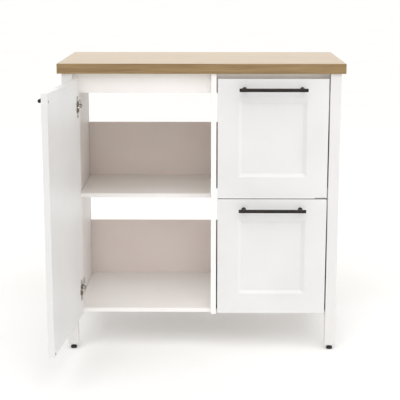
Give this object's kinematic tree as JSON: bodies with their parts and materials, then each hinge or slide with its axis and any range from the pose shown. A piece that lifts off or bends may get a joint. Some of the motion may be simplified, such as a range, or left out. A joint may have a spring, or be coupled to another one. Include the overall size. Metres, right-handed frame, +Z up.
{
  "type": "kitchen counter cabinet",
  "caption": "Free-standing kitchen counter cabinet: wood-look worktop, white case on legs, open-backed shelf bay behind a hinged framed door, stacked drawers beside it.",
  "frame": {"origin": "middle of the worktop's top face", "axes": "+X from the door side to the drawer side, +Y towards the open back, +Z up"},
  "size_m": [0.8124, 0.7922, 0.83],
  "materials": {
    "worktop_oak": "oak wood-print laminate on particle board, satin",
    "case_white": "white foil on fibreboard, satin",
    "front_white": "white lacquered fibreboard, satin",
    "raw_fibreboard": "raw fibreboard, matt",
    "drawer_board": "pale wood-print paper foil, matt",
    "dark_handle_metal": "dark bronze coated steel, satin",
    "nickel_steel": "nickel plated pressed steel",
    "coated_steel": "white epoxy powder coated steel, satin",
    "black_plastic": "moulded black plastic"
  },
  "bodies": {
    "case": {"worktop": "worktop_oak", "leg_front_left": "case_white", "leg_front_right": "case_white", "leg_rear_left": "case_white", "leg_rear_right": "case_white", "side_panel_left": "case_white", "side_panel_right": "case_white", "divider_panel": "case_white", "bottom_panel": "case_white", "shelf": "case_white", "front_rail_left": "case_white", "front_rail_right": "case_white", "rear_rail": "case_white", "back_strip_lower": "raw_fibreboard", "back_strip_upper": "raw_fibreboard", "hinge_arm_upper": "nickel_steel", "hinge_arm_lower": "nickel_steel", "hinge_plate_upper": "nickel_steel", "hinge_plate_lower": "nickel_steel", "case_runner_upper_left": "coated_steel", "case_runner_upper_right": "coated_steel", "case_runner_lower_left": "coated_steel", "case_runner_lower_right": "coated_steel"},
    "door": {"door_frame": "front_white", "door_panel": "front_white", "door_handle": "dark_handle_metal", "hinge_cup_upper": "nickel_steel", "hinge_cup_lower": "nickel_steel"},
    "drawer_upper": {"drawer_upper_frame": "front_white", "drawer_upper_panel": "front_white", "drawer_upper_handle": "dark_handle_metal", "drawer_upper_box_front": "drawer_board", "drawer_upper_box_back": "drawer_board", "drawer_upper_box_bottom": "drawer_board", "drawer_upper_box_left": "drawer_board", "drawer_upper_box_right": "drawer_board", "drawer_upper_runner_left": "coated_steel", "drawer_upper_runner_right": "coated_steel"},
    "drawer_lower": {"drawer_lower_frame": "front_white", "drawer_lower_panel": "front_white", "drawer_lower_handle": "dark_handle_metal", "drawer_lower_box_front": "drawer_board", "drawer_lower_box_back": "drawer_board", "drawer_lower_box_bottom": "drawer_board", "drawer_lower_box_left": "drawer_board", "drawer_lower_box_right": "drawer_board", "drawer_lower_runner_left": "coated_steel", "drawer_lower_runner_right": "coated_steel"},
    "link_inner_upper": {"hinge_link_inner_upper": "nickel_steel"},
    "link_inner_lower": {"hinge_link_inner_lower": "nickel_steel"},
    "link_outer_upper": {"hinge_link_outer_upper": "nickel_steel"},
    "link_outer_lower": {"hinge_link_outer_lower": "nickel_steel"},
    "glide_front_left": {"glide_front_left": "black_plastic"},
    "glide_front_right": {"glide_front_right": "black_plastic"},
    "glide_rear_left": {"glide_rear_left": "black_plastic"},
    "glide_rear_right": {"glide_rear_right": "black_plastic"}
  },
  "joints": [
    {"name": "door_hinge", "type": "hinge", "parent": "case", "child": "door", "pos_m": [-0.3557, -0.203, -0.3805], "axis": [0, 0, -1], "range_deg": [-95, 12]},
    {"name": "link_inner_upper_turn", "type": "hinge", "parent": "case", "child": "link_inner_upper", "pos_m": [-0.3557, -0.203, -0.118], "axis": [0, 0, -1], "range_deg": [-24, 3.2]},
    {"name": "link_inner_lower_turn", "type": "hinge", "parent": "case", "child": "link_inner_lower", "pos_m": [-0.3557, -0.203, -0.643], "axis": [0, 0, -1], "range_deg": [-24, 3.2]},
    {"name": "link_outer_upper_turn", "type": "hinge", "parent": "case", "child": "link_outer_upper", "pos_m": [-0.3557, -0.203, -0.118], "axis": [0, 0, -1], "range_deg": [-76.5, 9.8]},
    {"name": "link_outer_lower_turn", "type": "hinge", "parent": "case", "child": "link_outer_lower", "pos_m": [-0.3557, -0.203, -0.643], "axis": [0, 0, -1], "range_deg": [-76.5, 9.8]},
    {"name": "drawer_upper_slide", "type": "slide", "parent": "case", "child": "drawer_upper", "axis": [0, -1, 0], "range_m": [0, 0.25]},
    {"name": "drawer_lower_slide", "type": "slide", "parent": "case", "child": "drawer_lower", "axis": [0, -1, 0], "range_m": [0, 0.25]},
    {"name": "glide_front_left_screw", "type": "hinge", "parent": "case", "child": "glide_front_left", "pos_m": [-0.373, -0.189, -0.824], "axis": [0, 0, 1], "continuous": true},
    {"name": "glide_front_right_screw", "type": "hinge", "parent": "case", "child": "glide_front_right", "pos_m": [0.373, -0.189, -0.824], "axis": [0, 0, 1], "continuous": true},
    {"name": "glide_rear_left_screw", "type": "hinge", "parent": "case", "child": "glide_rear_left", "pos_m": [-0.373, 0.187, -0.824], "axis": [0, 0, 1], "continuous": true},
    {"name": "glide_rear_right_screw", "type": "hinge", "parent": "case", "child": "glide_rear_right", "pos_m": [0.373, 0.187, -0.824], "axis": [0, 0, 1], "continuous": true}
  ],
  "couplings": [
    {"joint": "link_inner_upper_turn", "follows": "door_hinge", "ratio": 0.25},
    {"joint": "link_inner_lower_turn", "follows": "door_hinge", "ratio": 0.25},
    {"joint": "link_outer_upper_turn", "follows": "door_hinge", "ratio": 0.8},
    {"joint": "link_outer_lower_turn", "follows": "door_hinge", "ratio": 0.8}
  ]
}
